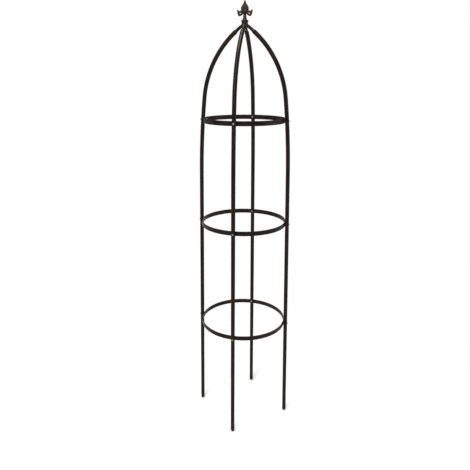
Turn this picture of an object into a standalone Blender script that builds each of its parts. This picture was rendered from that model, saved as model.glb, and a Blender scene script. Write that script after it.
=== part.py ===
"""Garden obelisk: four plug-together tube legs that bend in to a pointed dome, three flat hoops
screwed inside them, and a cast fleur-de-lis finial bolted to the hub where the legs meet.

Metres, +Z up. The legs stand on z = 0 and the finial is on the Z axis. -Y is the front.
"""

import math

import bmesh
import bpy
from mathutils import Matrix

# Clearance left between pieces that touch or fit into each other
GAP = 0.0003

# Tubes
TUBE_RADIUS = 0.0085
TUBE_WALL = 0.001
TUBE_SIDES = 16
BEND_STEP = 0.034  # longest straight facet along a bend

# Heights: leg tip to bottom hoop, then hoop to hoop
LEG_HEIGHT = 0.466
LOWER_GAP = 0.468
UPPER_GAP = 0.431

# Centreline of a leg: a lean, a slow inward bend past the top hoop, then the dome's bend
LEG_SPREAD = 0.2045  # centreline's distance from the axis at the leg tip
LEAN = math.radians(0.93)
SHOULDER_ANGLE = math.radians(6.0)
SHOULDER_RISE = 0.086  # height above the top hoop where the dome's bend begins
DOME_ANGLE = math.radians(49.0)
DOME_TAIL = 0.032  # straight end of the arch, at the hub
HUB_REACH = 0.0155  # distance from the axis at which the arches stop

# Plug-in joints: each tube's upper end is narrowed and goes up into the next tube
JOINT_DROP = 0.018  # seam below the hoop's middle
PLUG_LENGTH = 0.036
PLUG_TAPER = 0.003

# Lower tip of a leg, spun shut
NOSE_LENGTH = 0.014
NOSE_RADIUS = 0.0045
NOSE_FLOOR = 0.016  # height of the solid end inside the tube

# Upper end of an arch, narrowed to slide over the hub's pin
NECK_RADIUS = 0.0062
NECK_LENGTH = 0.020
NECK_TAPER = 0.010

# Hoops
HOOP_HEIGHT = 0.019
HOOP_THICKNESS = 0.003
HOOP_SEGMENTS = 64

# Hoop screws and nuts
SCREW_RADIUS = 0.002
SCREW_HEAD_RADIUS = 0.0038
SCREW_HEAD_HEIGHT = 0.0024
SCREW_END = 0.0015  # thread that shows past the nut
NUT_WIDTH = 0.007
NUT_THICKNESS = 0.0032
SCREW_SIDES = 12

# Crown hub, with its four pins
HUB_RADIUS = 0.0128
HUB_RIM_RADIUS = 0.0141
HUB_RIM_HEIGHT = 0.006
HUB_RIM_ROUNDING = 0.001
HUB_FOOT_RADIUS = 0.0075
HUB_BODY = 0.025  # height above the cone, rim included
HUB_SIDES = 32
PIN_LENGTH = 0.022
PIN_ROOT = 0.010  # length of a pin inside the hub

# Finial. Outlines are in its plane: distance from its middle, then height
STEM_RADIUS = 0.0062
STEM_SIDES = 24
FLARE_RADIUS = 0.0092
FLARE_MIDDLE_RADIUS = 0.0072
FLARE_HEIGHT = 0.012
STEM_HEIGHT = 0.0322  # hub's top to the middle of the band
BAND_HALF = 0.0038
BAND_FLAT = 0.6  # share of the band that has its full radius
BAND_RADIUS = 0.0085
FLOWER_THICKNESS = 0.009
LEAF_HEIGHT = 0.035
LEAF_HALF_WIDTH = 0.0152
# Shares of the leaf's half width and height, foot upwards
LEAF_SIDE = (
    (0.80, 0.00),
    (0.95, 0.03),
    (1.00, 0.11),
    (0.95, 0.21),
    (0.77, 0.40),
    (0.42, 0.61),
    (0.22, 0.80),
)
# Heights from the middle of the band
PETAL_TOP = ((0.004, 0.0030), (0.013, 0.0028), (0.020, 0.0000))
PETAL_TIP = ((0.0265, 0.0040), (0.0302, 0.0030))
PETAL_OUTSIDE = ((0.0290, -0.0060), (0.0275, -0.0125), (0.0255, -0.0175))
PETAL_UNDERSIDE = ((0.0235, -0.0184), (0.0190, -0.0180), (0.0140, -0.0150), (0.0095, -0.0115))
PETAL_ROOT = (0.004, -0.0085)
PETAL_EYE_RADIUS = 0.0023
PETAL_EYE_OUT = 0.0172
PETAL_EYE_DROP = 0.0092
STUD_RADIUS = 0.003
STUD_END = 0.003
CROWN_WASHER_RADIUS = 0.0072
CROWN_WASHER_THICKNESS = 0.001
CROWN_NUT_WIDTH = 0.010
CROWN_NUT_THICKNESS = 0.005
DRILL_OVERRUN = 0.005  # how far the drill for the stud starts and ends outside the pieces

CORNERS = {
    "front_right": math.radians(-45),
    "back_right": math.radians(45),
    "back_left": math.radians(135),
    "front_left": math.radians(225),
}
HOOP_HEIGHTS = {
    "bottom": LEG_HEIGHT,
    "middle": LEG_HEIGHT + LOWER_GAP,
    "top": LEG_HEIGHT + LOWER_GAP + UPPER_GAP,
}


# ---------------------------------------------------------------- leg centreline


def centreline_stretches():
    """Stretches of a leg's centreline, tip upwards: start, radius, height, angle, curvature, length."""
    bend_start = HOOP_HEIGHTS["middle"] + UPPER_GAP / 2
    dome_start = HOOP_HEIGHTS["top"] + SHOULDER_RISE
    straight = bend_start / math.cos(LEAN)
    radius = LEG_SPREAD - straight * math.sin(LEAN)
    slow = (math.sin(SHOULDER_ANGLE) - math.sin(LEAN)) / (dome_start - bend_start)
    slow_length = (SHOULDER_ANGLE - LEAN) / slow
    dome_radius_start = radius + (math.cos(SHOULDER_ANGLE) - math.cos(LEAN)) / slow
    dome_radius_end = HUB_REACH + DOME_TAIL * math.sin(DOME_ANGLE)
    inward = dome_radius_start - dome_radius_end
    dome = (math.cos(SHOULDER_ANGLE) - math.cos(DOME_ANGLE)) / inward
    dome_length = (DOME_ANGLE - SHOULDER_ANGLE) / dome
    dome_top = dome_start + (math.sin(DOME_ANGLE) - math.sin(SHOULDER_ANGLE)) / dome
    starts = [0.0, straight, straight + slow_length, straight + slow_length + dome_length]
    return [
        (starts[0], LEG_SPREAD, 0.0, LEAN, 0.0, straight),
        (starts[1], radius, bend_start, LEAN, slow, slow_length),
        (starts[2], dome_radius_start, dome_start, SHOULDER_ANGLE, dome, dome_length),
        (starts[3], dome_radius_end, dome_top, DOME_ANGLE, 0.0, DOME_TAIL),
    ]


STRETCHES = centreline_stretches()
CENTRELINE_LENGTH = STRETCHES[-1][0] + STRETCHES[-1][5]


def centreline(along):
    """Distance from the axis, height and inward angle of a leg at a length along its centreline."""
    reached = [s for s in STRETCHES if s[0] <= along] or STRETCHES[:1]
    start, radius, height, angle, curvature, _ = reached[-1]
    past = along - start
    if curvature == 0:
        return radius - past * math.sin(angle), height + past * math.cos(angle), angle
    turned = angle + past * curvature
    across = (math.cos(turned) - math.cos(angle)) / curvature
    up = (math.sin(turned) - math.sin(angle)) / curvature
    return radius + across, height + up, turned


def length_at(height):
    """Length along the centreline at which a leg reaches a height."""
    reached = [s for s in STRETCHES if s[2] <= height] or STRETCHES[:1]
    start, _, base, angle, curvature, _ = reached[-1]
    if curvature == 0:
        return start + (height - base) / math.cos(angle)
    turned = math.asin(math.sin(angle) + (height - base) * curvature)
    return start + (turned - angle) / curvature


def station(along, flat=False):
    """Matrix at a length along the centreline, with its Z axis along the tube unless it is flat."""
    radius, height, angle = centreline(along)
    turn = Matrix() if flat else Matrix.Rotation(-angle, 4, "Y")
    return Matrix.Translation((radius, 0, height)) @ turn


def bend_lengths(low, high):
    """Lengths from low to high, close together where the centreline bends."""
    breaks = [low] + [s[0] for s in STRETCHES if low < s[0] < high] + [high]
    lengths = [low]
    for begin, end in zip(breaks, breaks[1:]):
        curvature = [s for s in STRETCHES if s[0] <= begin][-1][4]
        steps = math.ceil((end - begin) / BEND_STEP) if curvature else 1
        lengths += [begin + (end - begin) * (i + 1) / steps for i in range(steps)]
    return lengths


JOINTS = {name: length_at(height - JOINT_DROP) for name, height in HOOP_HEIGHTS.items()}


# ---------------------------------------------------------------- building blocks


def material(name, colour, roughness, metallic):
    """A Principled material with a plain colour."""
    made = bpy.data.materials.new(name)
    made.use_nodes = True
    shader = made.node_tree.nodes["Principled BSDF"]
    shader.inputs["Base Color"].default_value = (*colour, 1)
    shader.inputs["Roughness"].default_value = roughness
    shader.inputs["Metallic"].default_value = metallic
    return made


def ringed_mesh(name, rings, sides, looped):
    """Mesh of rings joined in order, each a matrix and a radius; looped joins the last to the first,
    otherwise both end rings are filled."""
    bm = bmesh.new()
    loops = []
    for matrix, radius in rings:
        made = bmesh.ops.create_circle(bm, segments=sides, radius=radius, matrix=matrix)
        loops.append(made["verts"])
    pairs = list(zip(loops, loops[1:]))
    if looped:
        pairs.append((loops[-1], loops[0]))
    for lower, upper in pairs:
        for i in range(sides):
            bm.faces.new((lower[i - 1], lower[i], upper[i], upper[i - 1]))
    if not looped:
        bm.faces.new(loops[0])
        bm.faces.new(loops[-1])
    bmesh.ops.recalc_face_normals(bm, faces=bm.faces)
    return finished_mesh(name, bm)


def finished_mesh(name, bm):
    """Mesh from a bmesh, shaded smooth with its corners kept sharp."""
    mesh = bpy.data.meshes.new(name)
    bm.to_mesh(mesh)
    bm.free()
    mesh.shade_smooth()
    mesh.set_sharp_from_angle(angle=math.radians(35))
    return mesh


def turned_mesh(name, profile, sides):
    """Solid turned about Z from a profile of heights and radii."""
    rings = [(Matrix.Translation((0, 0, height)), radius) for height, radius in profile]
    return ringed_mesh(name, rings, sides, looped=False)


def hexagon_mesh(name, width, thickness):
    """Six-sided blank, centred, with its axis along Z."""
    bm = bmesh.new()
    corner = width / 2 / math.cos(math.radians(30))
    bmesh.ops.create_cone(
        bm, cap_ends=True, segments=6, radius1=corner, radius2=corner, depth=thickness
    )
    return finished_mesh(name, bm)


def add_piece(name, mesh, look):
    """Object for one piece of the obelisk, with its own material."""
    piece = bpy.data.objects.new(name, mesh)
    bpy.context.collection.objects.link(piece)
    if not mesh.materials:
        mesh.materials.append(look)
    return piece


def add_helper(name, mesh):
    """Object that only shapes other pieces."""
    helper = bpy.data.objects.new(name, mesh)
    bpy.context.collection.objects.link(helper)
    helper.hide_render = True
    helper.display_type = "WIRE"
    return helper


def combine(piece, other, operation):
    """Cuts another object from a piece, or joins it on."""
    step = piece.modifiers.new(operation.lower(), "BOOLEAN")
    step.operation = operation
    step.solver = "EXACT"
    step.object = other


# ---------------------------------------------------------------- tubes


def plug_profile(joint):
    """Outer and inner radii of a tube's narrowed upper end, below and in the next tube."""
    shoulder = joint - GAP
    plug_radius = TUBE_RADIUS - TUBE_WALL - GAP
    stations = [shoulder - PLUG_TAPER, shoulder, joint + PLUG_LENGTH]
    outer = list(zip(stations, [TUBE_RADIUS, plug_radius, plug_radius]))
    inner = [(along, radius - TUBE_WALL) for along, radius in outer]
    return outer, inner


def tube_mesh(name, outer, inner):
    """Hollow tube along the centreline, open at both ends."""
    walls = outer + inner[::-1]
    rings = [(station(along), radius) for along, radius in walls]
    return ringed_mesh(name, rings, TUBE_SIDES, looped=True)


def leg_mesh():
    """Lowest tube: its tip is spun shut and its upper end is a plug."""
    plug_outer, plug_inner = plug_profile(JOINTS["bottom"])
    rings = [(station(0, flat=True), NOSE_RADIUS), (station(NOSE_LENGTH), TUBE_RADIUS)]
    rings += [(station(along), radius) for along, radius in plug_outer]
    rings += [(station(along), radius) for along, radius in plug_inner[::-1]]
    rings.append((station(NOSE_FLOOR), TUBE_RADIUS - TUBE_WALL))
    return ringed_mesh("leg", rings, TUBE_SIDES, looped=False)


def straight_tube_mesh(name, lower_joint, upper_joint):
    """Tube between two hoops: plain socket below, plug above."""
    plug_outer, plug_inner = plug_profile(upper_joint)
    lengths = bend_lengths(lower_joint, plug_outer[0][0])[:-1]
    outer = [(along, TUBE_RADIUS) for along in lengths] + plug_outer
    inner = [(along, TUBE_RADIUS - TUBE_WALL) for along in lengths] + plug_inner
    return tube_mesh(name, outer, inner)


def arch_mesh():
    """Top tube: bends in to the hub, where its end is narrowed."""
    neck = [CENTRELINE_LENGTH - NECK_LENGTH - NECK_TAPER, CENTRELINE_LENGTH - NECK_LENGTH]
    lengths = bend_lengths(JOINTS["top"], neck[0])
    outer = [(along, TUBE_RADIUS) for along in lengths]
    outer += [(neck[1], NECK_RADIUS), (CENTRELINE_LENGTH, NECK_RADIUS)]
    inner = [(along, radius - TUBE_WALL) for along, radius in outer]
    return tube_mesh("arch", outer, inner)


# ---------------------------------------------------------------- hoops, screws and nuts


def hoop_outer_radius(height):
    """Outer radius of the hoop that fits inside the leaning legs at a height."""
    radius, _, angle = centreline(length_at(height))
    return radius - TUBE_RADIUS / math.cos(angle) - HOOP_HEIGHT / 2 * math.tan(angle) - GAP


def hoop_mesh(name, height):
    """Flat bar rolled into a closed ring, standing on edge."""
    outer = hoop_outer_radius(height)
    inner = outer - HOOP_THICKNESS
    half = HOOP_HEIGHT / 2
    corners = [(-half, outer), (half, outer), (half, inner), (-half, inner)]
    rings = [(Matrix.Translation((0, 0, low)), radius) for low, radius in corners]
    return ringed_mesh(name, rings, HOOP_SEGMENTS, looped=True)


def screw_seat(height):
    """Distance from the axis to the underside of a screw head at a height."""
    radius, _, angle = centreline(length_at(height))
    return radius + TUBE_RADIUS / math.cos(angle) + SCREW_HEAD_RADIUS * math.tan(angle) + GAP


def screw_mesh(name, length):
    """Round-headed screw along Z, with the underside of its head at the origin."""
    profile = [
        (-length, SCREW_RADIUS),
        (0, SCREW_RADIUS),
        (0, SCREW_HEAD_RADIUS),
        (SCREW_HEAD_HEIGHT * 0.4, SCREW_HEAD_RADIUS * 0.97),
        (SCREW_HEAD_HEIGHT * 0.8, SCREW_HEAD_RADIUS * 0.75),
        (SCREW_HEAD_HEIGHT, SCREW_HEAD_RADIUS * 0.4),
    ]
    return turned_mesh(name, profile, SCREW_SIDES)


def place_on_radius(piece, azimuth, distance, height):
    """Puts a piece out from the axis with its Z axis pointing outwards."""
    piece.location = (distance * math.cos(azimuth), distance * math.sin(azimuth), height)
    piece.rotation_euler = (0, math.radians(90), azimuth)


def add_hoop_fixings(level, height, looks):
    """Screws and nuts of one hoop. Returns the drills that make their holes, by corner."""
    seat = screw_seat(height)
    nut_face = hoop_outer_radius(height) - HOOP_THICKNESS - GAP
    length = seat - nut_face + NUT_THICKNESS + SCREW_END
    screw = screw_mesh(f"screw_{level}", length)
    nut = hexagon_mesh(f"nut_{level}", NUT_WIDTH, NUT_THICKNESS)
    reach = length + SCREW_HEAD_HEIGHT
    drill_profile = [(-reach, SCREW_RADIUS + GAP), (SCREW_HEAD_HEIGHT, SCREW_RADIUS + GAP)]
    drill = turned_mesh(f"drill_{level}", drill_profile, SCREW_SIDES)
    drills = {}
    for corner, azimuth in CORNERS.items():
        place_on_radius(
            add_piece(f"hoop_screw_{level}_{corner}", screw, looks["screw"]), azimuth, seat, height
        )
        drills[corner] = add_helper(f"drill_{level}_{corner}", drill)
        place_on_radius(drills[corner], azimuth, seat, height)
        fixing = add_piece(f"hoop_nut_{level}_{corner}", nut, looks["nut"])
        place_on_radius(fixing, azimuth, nut_face - NUT_THICKNESS / 2, height)
        combine(fixing, drills[corner], "DIFFERENCE")
    return drills


# ---------------------------------------------------------------- crown hub and finial


def hub_levels():
    """Heights of the hub's foot, of the top of its cone and of its upper face."""
    _, end_height, _ = centreline(CENTRELINE_LENGTH)
    slope = math.tan(DOME_ANGLE)
    clearance = GAP / math.cos(DOME_ANGLE)
    foot = end_height - (HUB_REACH - HUB_FOOT_RADIUS) * slope + clearance
    cone_top = end_height - (HUB_REACH - HUB_RADIUS) * slope + clearance
    return foot, cone_top, cone_top + HUB_BODY


def add_crown_hub(look, drill):
    """Cup-shaped hub under the finial, with a pin into the end of each arch."""
    foot, cone_top, top = hub_levels()
    rim_foot = top - HUB_RIM_HEIGHT
    profile = [
        (foot, HUB_FOOT_RADIUS),
        (cone_top, HUB_RADIUS),
        (rim_foot, HUB_RADIUS),
        (rim_foot + HUB_RIM_ROUNDING, HUB_RIM_RADIUS),
        (top - HUB_RIM_ROUNDING, HUB_RIM_RADIUS),
        (top, HUB_RIM_RADIUS - HUB_RIM_ROUNDING),
    ]
    hub = add_piece("crown_hub", turned_mesh("crown_hub", profile, HUB_SIDES), look)
    pin_radius = NECK_RADIUS - TUBE_WALL - GAP
    pin_rings = [
        (station(CENTRELINE_LENGTH - PIN_LENGTH), pin_radius),
        (station(CENTRELINE_LENGTH + PIN_ROOT), pin_radius),
    ]
    pin = ringed_mesh("hub_pin", pin_rings, TUBE_SIDES, looped=False)
    for corner, azimuth in CORNERS.items():
        helper = add_helper(f"hub_pin_{corner}", pin)
        helper.rotation_euler = (0, 0, azimuth)
        combine(hub, helper, "UNION")
    combine(hub, drill, "DIFFERENCE")
    return hub


def leaf_outline():
    """Right-hand side of the upright leaf, from its flat foot up to its point."""
    foot = STEM_HEIGHT + BAND_HALF
    side = [(LEAF_HALF_WIDTH * out, foot + LEAF_HEIGHT * up) for out, up in LEAF_SIDE]
    return side + [(0, foot + LEAF_HEIGHT)]


def petal_outline():
    """Right-hand drooping petal."""
    points = PETAL_TOP + PETAL_TIP + PETAL_OUTSIDE + PETAL_UNDERSIDE + (PETAL_ROOT,)
    return [(out, STEM_HEIGHT + up) for out, up in points]


def slab(bm, outline):
    """Closed slab of the finial's thickness from an outline in its plane."""
    verts = [bm.verts.new((x, -FLOWER_THICKNESS / 2, z)) for x, z in outline]
    face = bm.faces.new(verts)
    made = bmesh.ops.extrude_face_region(bm, geom=[face])
    moved = [item for item in made["geom"] if isinstance(item, bmesh.types.BMVert)]
    bmesh.ops.translate(bm, verts=moved, vec=(0, FLOWER_THICKNESS, 0))
    bmesh.ops.recalc_face_normals(bm, faces=bm.faces)


def slab_mesh(name, outline):
    """Mesh of one slab."""
    bm = bmesh.new()
    slab(bm, outline)
    return finished_mesh(name, bm)


def add_finial(look):
    """Cast finial: flared stem, band, leaf and two petals, on a threaded stud."""
    foot, _, top = hub_levels()
    base = top + GAP
    stud = base - foot + CROWN_WASHER_THICKNESS + CROWN_NUT_THICKNESS + 2 * GAP + STUD_END
    profile = [
        (-stud, STUD_RADIUS),
        (0, STUD_RADIUS),
        (0, FLARE_RADIUS),
        (FLARE_HEIGHT / 2, FLARE_MIDDLE_RADIUS),
        (FLARE_HEIGHT, STEM_RADIUS),
        (STEM_HEIGHT - BAND_HALF, STEM_RADIUS),
        (STEM_HEIGHT - BAND_HALF * BAND_FLAT, BAND_RADIUS),
        (STEM_HEIGHT + BAND_HALF * BAND_FLAT, BAND_RADIUS),
        (STEM_HEIGHT + BAND_HALF, STEM_RADIUS),
    ]
    finial = add_piece("finial", turned_mesh("finial", profile, STEM_SIDES), look)
    right = leaf_outline()
    left = [(-x, z) for x, z in reversed(right[:-1])]
    leaf = add_helper("finial_leaf", slab_mesh("finial_leaf", right + left))
    eye_profile = [(-FLOWER_THICKNESS, PETAL_EYE_RADIUS), (FLOWER_THICKNESS, PETAL_EYE_RADIUS)]
    eye = turned_mesh("petal_eye", eye_profile, SCREW_SIDES)
    parts = [leaf]
    for side, name in ((1, "right"), (-1, "left")):
        outline = [(side * x, z) for x, z in petal_outline()]
        petal = add_helper(f"finial_petal_{name}", slab_mesh(f"finial_petal_{name}", outline))
        hole = add_helper(f"petal_eye_{name}", eye)
        hole.location = (side * PETAL_EYE_OUT, 0, STEM_HEIGHT - PETAL_EYE_DROP)
        hole.rotation_euler = (math.radians(90), 0, 0)
        hole.parent = finial
        combine(petal, hole, "DIFFERENCE")
        parts.append(petal)
    for part in parts:
        part.parent = finial
        combine(finial, part, "UNION")
    finial.location = (0, 0, base)
    finial.rotation_euler = (0, 0, CORNERS["front_right"])
    return finial


def add_crown_fixings(look, drill):
    """Washer and nut that hold the finial and the hub together from below."""
    foot, _, _ = hub_levels()
    washer_top = foot - GAP
    profile = [(-CROWN_WASHER_THICKNESS, CROWN_WASHER_RADIUS), (0, CROWN_WASHER_RADIUS)]
    washer = add_piece("crown_washer", turned_mesh("crown_washer", profile, STEM_SIDES), look)
    washer.location = (0, 0, washer_top)
    nut = add_piece(
        "crown_nut", hexagon_mesh("crown_nut", CROWN_NUT_WIDTH, CROWN_NUT_THICKNESS), look
    )
    nut_top = washer_top - CROWN_WASHER_THICKNESS - GAP
    nut.location = (0, 0, nut_top - CROWN_NUT_THICKNESS / 2)
    combine(washer, drill, "DIFFERENCE")
    combine(nut, drill, "DIFFERENCE")


def crown_drill():
    """Drill for the finial's stud, through the hub, the washer and the nut."""
    foot, _, top = hub_levels()
    lowest = foot - CROWN_WASHER_THICKNESS - CROWN_NUT_THICKNESS - DRILL_OVERRUN
    profile = [(lowest, STUD_RADIUS + GAP), (top + DRILL_OVERRUN, STUD_RADIUS + GAP)]
    return add_helper("crown_drill", turned_mesh("crown_drill", profile, STEM_SIDES))


# ---------------------------------------------------------------- assembly


def add_legs(looks, drills):
    """Four legs of four tubes each, drilled where the hoop screws pass."""
    kinds = {
        "leg": (leg_mesh(), ["bottom"]),
        "lower_tube": (
            straight_tube_mesh("lower_tube", JOINTS["bottom"], JOINTS["middle"]),
            ["bottom", "middle"],
        ),
        "upper_tube": (
            straight_tube_mesh("upper_tube", JOINTS["middle"], JOINTS["top"]),
            ["middle", "top"],
        ),
        "arch": (arch_mesh(), ["top"]),
    }
    for corner, azimuth in CORNERS.items():
        for kind, (mesh, levels) in kinds.items():
            piece = add_piece(f"{kind}_{corner}", mesh, looks[kind])
            piece.rotation_euler = (0, 0, azimuth)
            for level in levels:
                combine(piece, drills[level][corner], "DIFFERENCE")


def add_hoops(looks, drills):
    """Three hoops, each drilled at its four legs."""
    for level, height in HOOP_HEIGHTS.items():
        hoop = add_piece(f"hoop_{level}", hoop_mesh(f"hoop_{level}", height), looks["hoop"])
        hoop.location = (0, 0, height)
        for drill in drills[level].values():
            combine(hoop, drill, "DIFFERENCE")


def main():
    for leftover in list(bpy.data.objects):
        bpy.data.objects.remove(leftover)
    brown = (0.024, 0.017, 0.013)
    looks = {
        "leg": material("leg_paint", brown, 0.45, 0.0),
        "lower_tube": material("lower_tube_paint", brown, 0.45, 0.0),
        "upper_tube": material("upper_tube_paint", brown, 0.45, 0.0),
        "arch": material("arch_paint", (0.027, 0.019, 0.015), 0.45, 0.0),
        "hoop": material("hoop_paint", (0.022, 0.015, 0.012), 0.5, 0.0),
        "screw": material("screw_zinc", (0.27, 0.25, 0.22), 0.4, 1.0),
        "nut": material("nut_zinc", (0.20, 0.17, 0.15), 0.45, 1.0),
        "hub": material("hub_paint", (0.030, 0.021, 0.017), 0.5, 0.0),
        "finial": material("finial_cast", (0.045, 0.032, 0.026), 0.55, 0.3),
    }
    drills = {
        level: add_hoop_fixings(level, height, looks) for level, height in HOOP_HEIGHTS.items()
    }
    add_legs(looks, drills)
    add_hoops(looks, drills)
    drill = crown_drill()
    add_crown_hub(looks["hub"], drill)
    add_crown_fixings(looks["nut"], drill)
    add_finial(looks["finial"])


main()
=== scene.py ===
"""Garden obelisk: four plug-together tube legs bent in to a pointed dome, three flat hoops screwed
inside them, and a cast fleur-de-lis finial on a cup-shaped hub.

Metres, +Z up. The legs stand on z = 0, the finial is on the Z axis and -Y is the front.
"""

import math

import bmesh
import bpy
from bpy.props import FloatProperty, FloatVectorProperty, IntProperty, PointerProperty
from bpy.types import Operator, Panel, PropertyGroup
from mathutils import Matrix, Vector


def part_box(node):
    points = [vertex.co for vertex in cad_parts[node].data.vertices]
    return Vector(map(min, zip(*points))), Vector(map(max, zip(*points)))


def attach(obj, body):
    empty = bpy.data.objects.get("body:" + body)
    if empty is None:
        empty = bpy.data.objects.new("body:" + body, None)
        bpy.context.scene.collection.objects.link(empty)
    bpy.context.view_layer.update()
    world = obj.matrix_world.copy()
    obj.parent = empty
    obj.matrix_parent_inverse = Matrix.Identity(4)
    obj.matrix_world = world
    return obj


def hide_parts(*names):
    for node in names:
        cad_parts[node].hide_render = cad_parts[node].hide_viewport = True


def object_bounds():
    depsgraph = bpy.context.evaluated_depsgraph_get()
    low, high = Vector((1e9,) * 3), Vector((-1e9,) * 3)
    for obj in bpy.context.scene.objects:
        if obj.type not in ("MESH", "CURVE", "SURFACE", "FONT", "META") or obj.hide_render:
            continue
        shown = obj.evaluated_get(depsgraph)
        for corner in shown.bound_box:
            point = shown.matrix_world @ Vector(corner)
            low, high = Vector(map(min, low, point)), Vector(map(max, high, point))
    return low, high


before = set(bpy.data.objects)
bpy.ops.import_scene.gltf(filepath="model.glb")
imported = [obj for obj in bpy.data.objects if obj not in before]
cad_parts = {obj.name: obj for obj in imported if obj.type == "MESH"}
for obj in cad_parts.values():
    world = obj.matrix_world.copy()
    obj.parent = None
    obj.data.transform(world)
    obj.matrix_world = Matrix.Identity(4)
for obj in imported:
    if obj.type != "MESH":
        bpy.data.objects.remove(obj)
CAD_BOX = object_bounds()

bl_info = {
    "name": "Garden obelisk",
    "version": (1, 0, 0),
    "blender": (4, 5, 0),
    "location": "3D View > Sidebar > Obelisk",
    "description": "Builds a garden obelisk of tube legs, flat hoops and a cast finial",
    "category": "Object",
}

CORNERS = {
    "front_right": math.radians(-45),
    "back_right": math.radians(45),
    "back_left": math.radians(135),
    "front_left": math.radians(225),
}
LEVELS = ("bottom", "middle", "top")
CLEARANCE = 0.0003  # left between pieces that touch
FIT_TOLERANCE = 0.001  # a piece may differ this much from the node it stands for
CAST_TOLERANCE = 0.003  # the same for the finial, whose outline is rounder than its node's
FINE_MERGE = 0.000001  # points closer than this are one point while a piece is shaped
MERGE = 0.000008  # the same on a finished piece, whose cuts leave slivers
SHARP_ANGLE = math.radians(38)  # edges that turn more than this are shaded sharp
QUARTER_TURN = math.radians(90)
FLOOR_REACH = 12  # from the middle of the floor to its edge
FLOOR_DROP = 0.0005  # the floor lies this far under the leg tips
CLEARING_STARTS = 0.5  # distance from the middle where the floor begins to clear to white
CLEARING_ENDS = 1.5  # and where it is white
THREAD_ROOT = 0.86  # radius at the bottom of a thread, as part of its outside radius
EDGE_LAYER = "edge_turn"  # vertex attribute that the finishes read their wear, painted shade and painted highlight from


# ---------------------------------------------------------------- sizes and colours


def length(name, description, default):
    """Property for a length in metres."""
    return FloatProperty(
        name=name,
        description=description,
        default=default,
        min=0.0,
        precision=5,
        subtype="DISTANCE",
        unit="LENGTH",
    )


def turn(name, description, degrees):
    """Property for an angle."""
    return FloatProperty(
        name=name,
        description=description,
        default=math.radians(degrees),
        subtype="ANGLE",
        unit="ROTATION",
    )


def colour(name, description, default):
    """Property for a colour."""
    return FloatVectorProperty(
        name=name,
        description=description,
        default=default,
        min=0.0,
        max=1.0,
        size=3,
        subtype="COLOR",
    )


def count(name, description, default, least):
    """Property for a number of facets."""
    return IntProperty(name=name, description=description, default=default, min=least)


def strength(name, description, default):
    """Property for the strength of a light."""
    return FloatProperty(name=name, description=description, default=default, min=0.0)


class ObeliskTubeSizes(PropertyGroup):
    """Sizes of the legs and of the curve that they follow."""

    radius: length("Tube radius", "Outside radius of the tube", 0.0085)
    wall: length("Wall", "Thickness of the tube's wall", 0.001)
    spread: length("Leg spread", "Distance of a leg's tip from the middle", 0.2045)
    lean: turn("Lean", "Inward lean of the straight part of a leg", 0.93)
    shoulder_angle: turn("Shoulder angle", "Inward angle where the dome begins", 6.0)
    shoulder_rise: length("Shoulder rise", "Height of the dome's start above the top hoop", 0.086)
    dome_angle: turn("Dome angle", "Inward angle at the hub", 49.0)
    dome_tail: length("Dome tail", "Straight end of an arch", 0.032)
    hub_reach: length("Hub reach", "Distance from the middle at which the arches stop", 0.0155)
    joint_drop: length("Joint drop", "Height of a tube joint below its hoop", 0.018)
    plug_length: length("Plug length", "Narrowed end that goes up into the next tube", 0.036)
    plug_taper: length("Plug taper", "Length over which a tube is narrowed to its plug", 0.003)
    nose_length: length("Nose length", "Rounded tip of a leg", 0.014)
    nose_radius: length("Nose radius", "Radius of the flat on a leg's tip", 0.0045)
    neck_radius: length("Neck radius", "Radius of an arch's narrowed upper end", 0.0062)
    neck_length: length("Neck length", "Length of an arch's narrowed upper end", 0.020)
    neck_taper: length("Neck taper", "Length over which an arch is narrowed", 0.010)
    sides: count("Sides", "Facets round a tube", 48, 12)


class ObeliskHoopSizes(PropertyGroup):
    """Sizes of the hoops and their fixings."""

    height: length("Hoop height", "Height of the flat bar", 0.019)
    thickness: length("Hoop thickness", "Thickness of the flat bar", 0.003)
    rounding: length("Edge rounding", "Rounding of the flat bar's edges", 0.0007)
    segments: count("Segments", "Facets round a hoop", 192, 48)
    screw_radius: length("Screw radius", "Radius of a hoop screw's thread", 0.002)
    head_radius: length("Head radius", "Radius of a hoop screw's head", 0.0038)
    head_height: length("Head height", "Height of a hoop screw's head", 0.0024)
    screw_end: length("Screw end", "Thread that shows past the nut", 0.0015)
    nut_width: length("Nut width", "Width of a hoop nut across its flats", 0.007)
    nut_thickness: length("Nut thickness", "Thickness of a hoop nut", 0.0032)


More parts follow.
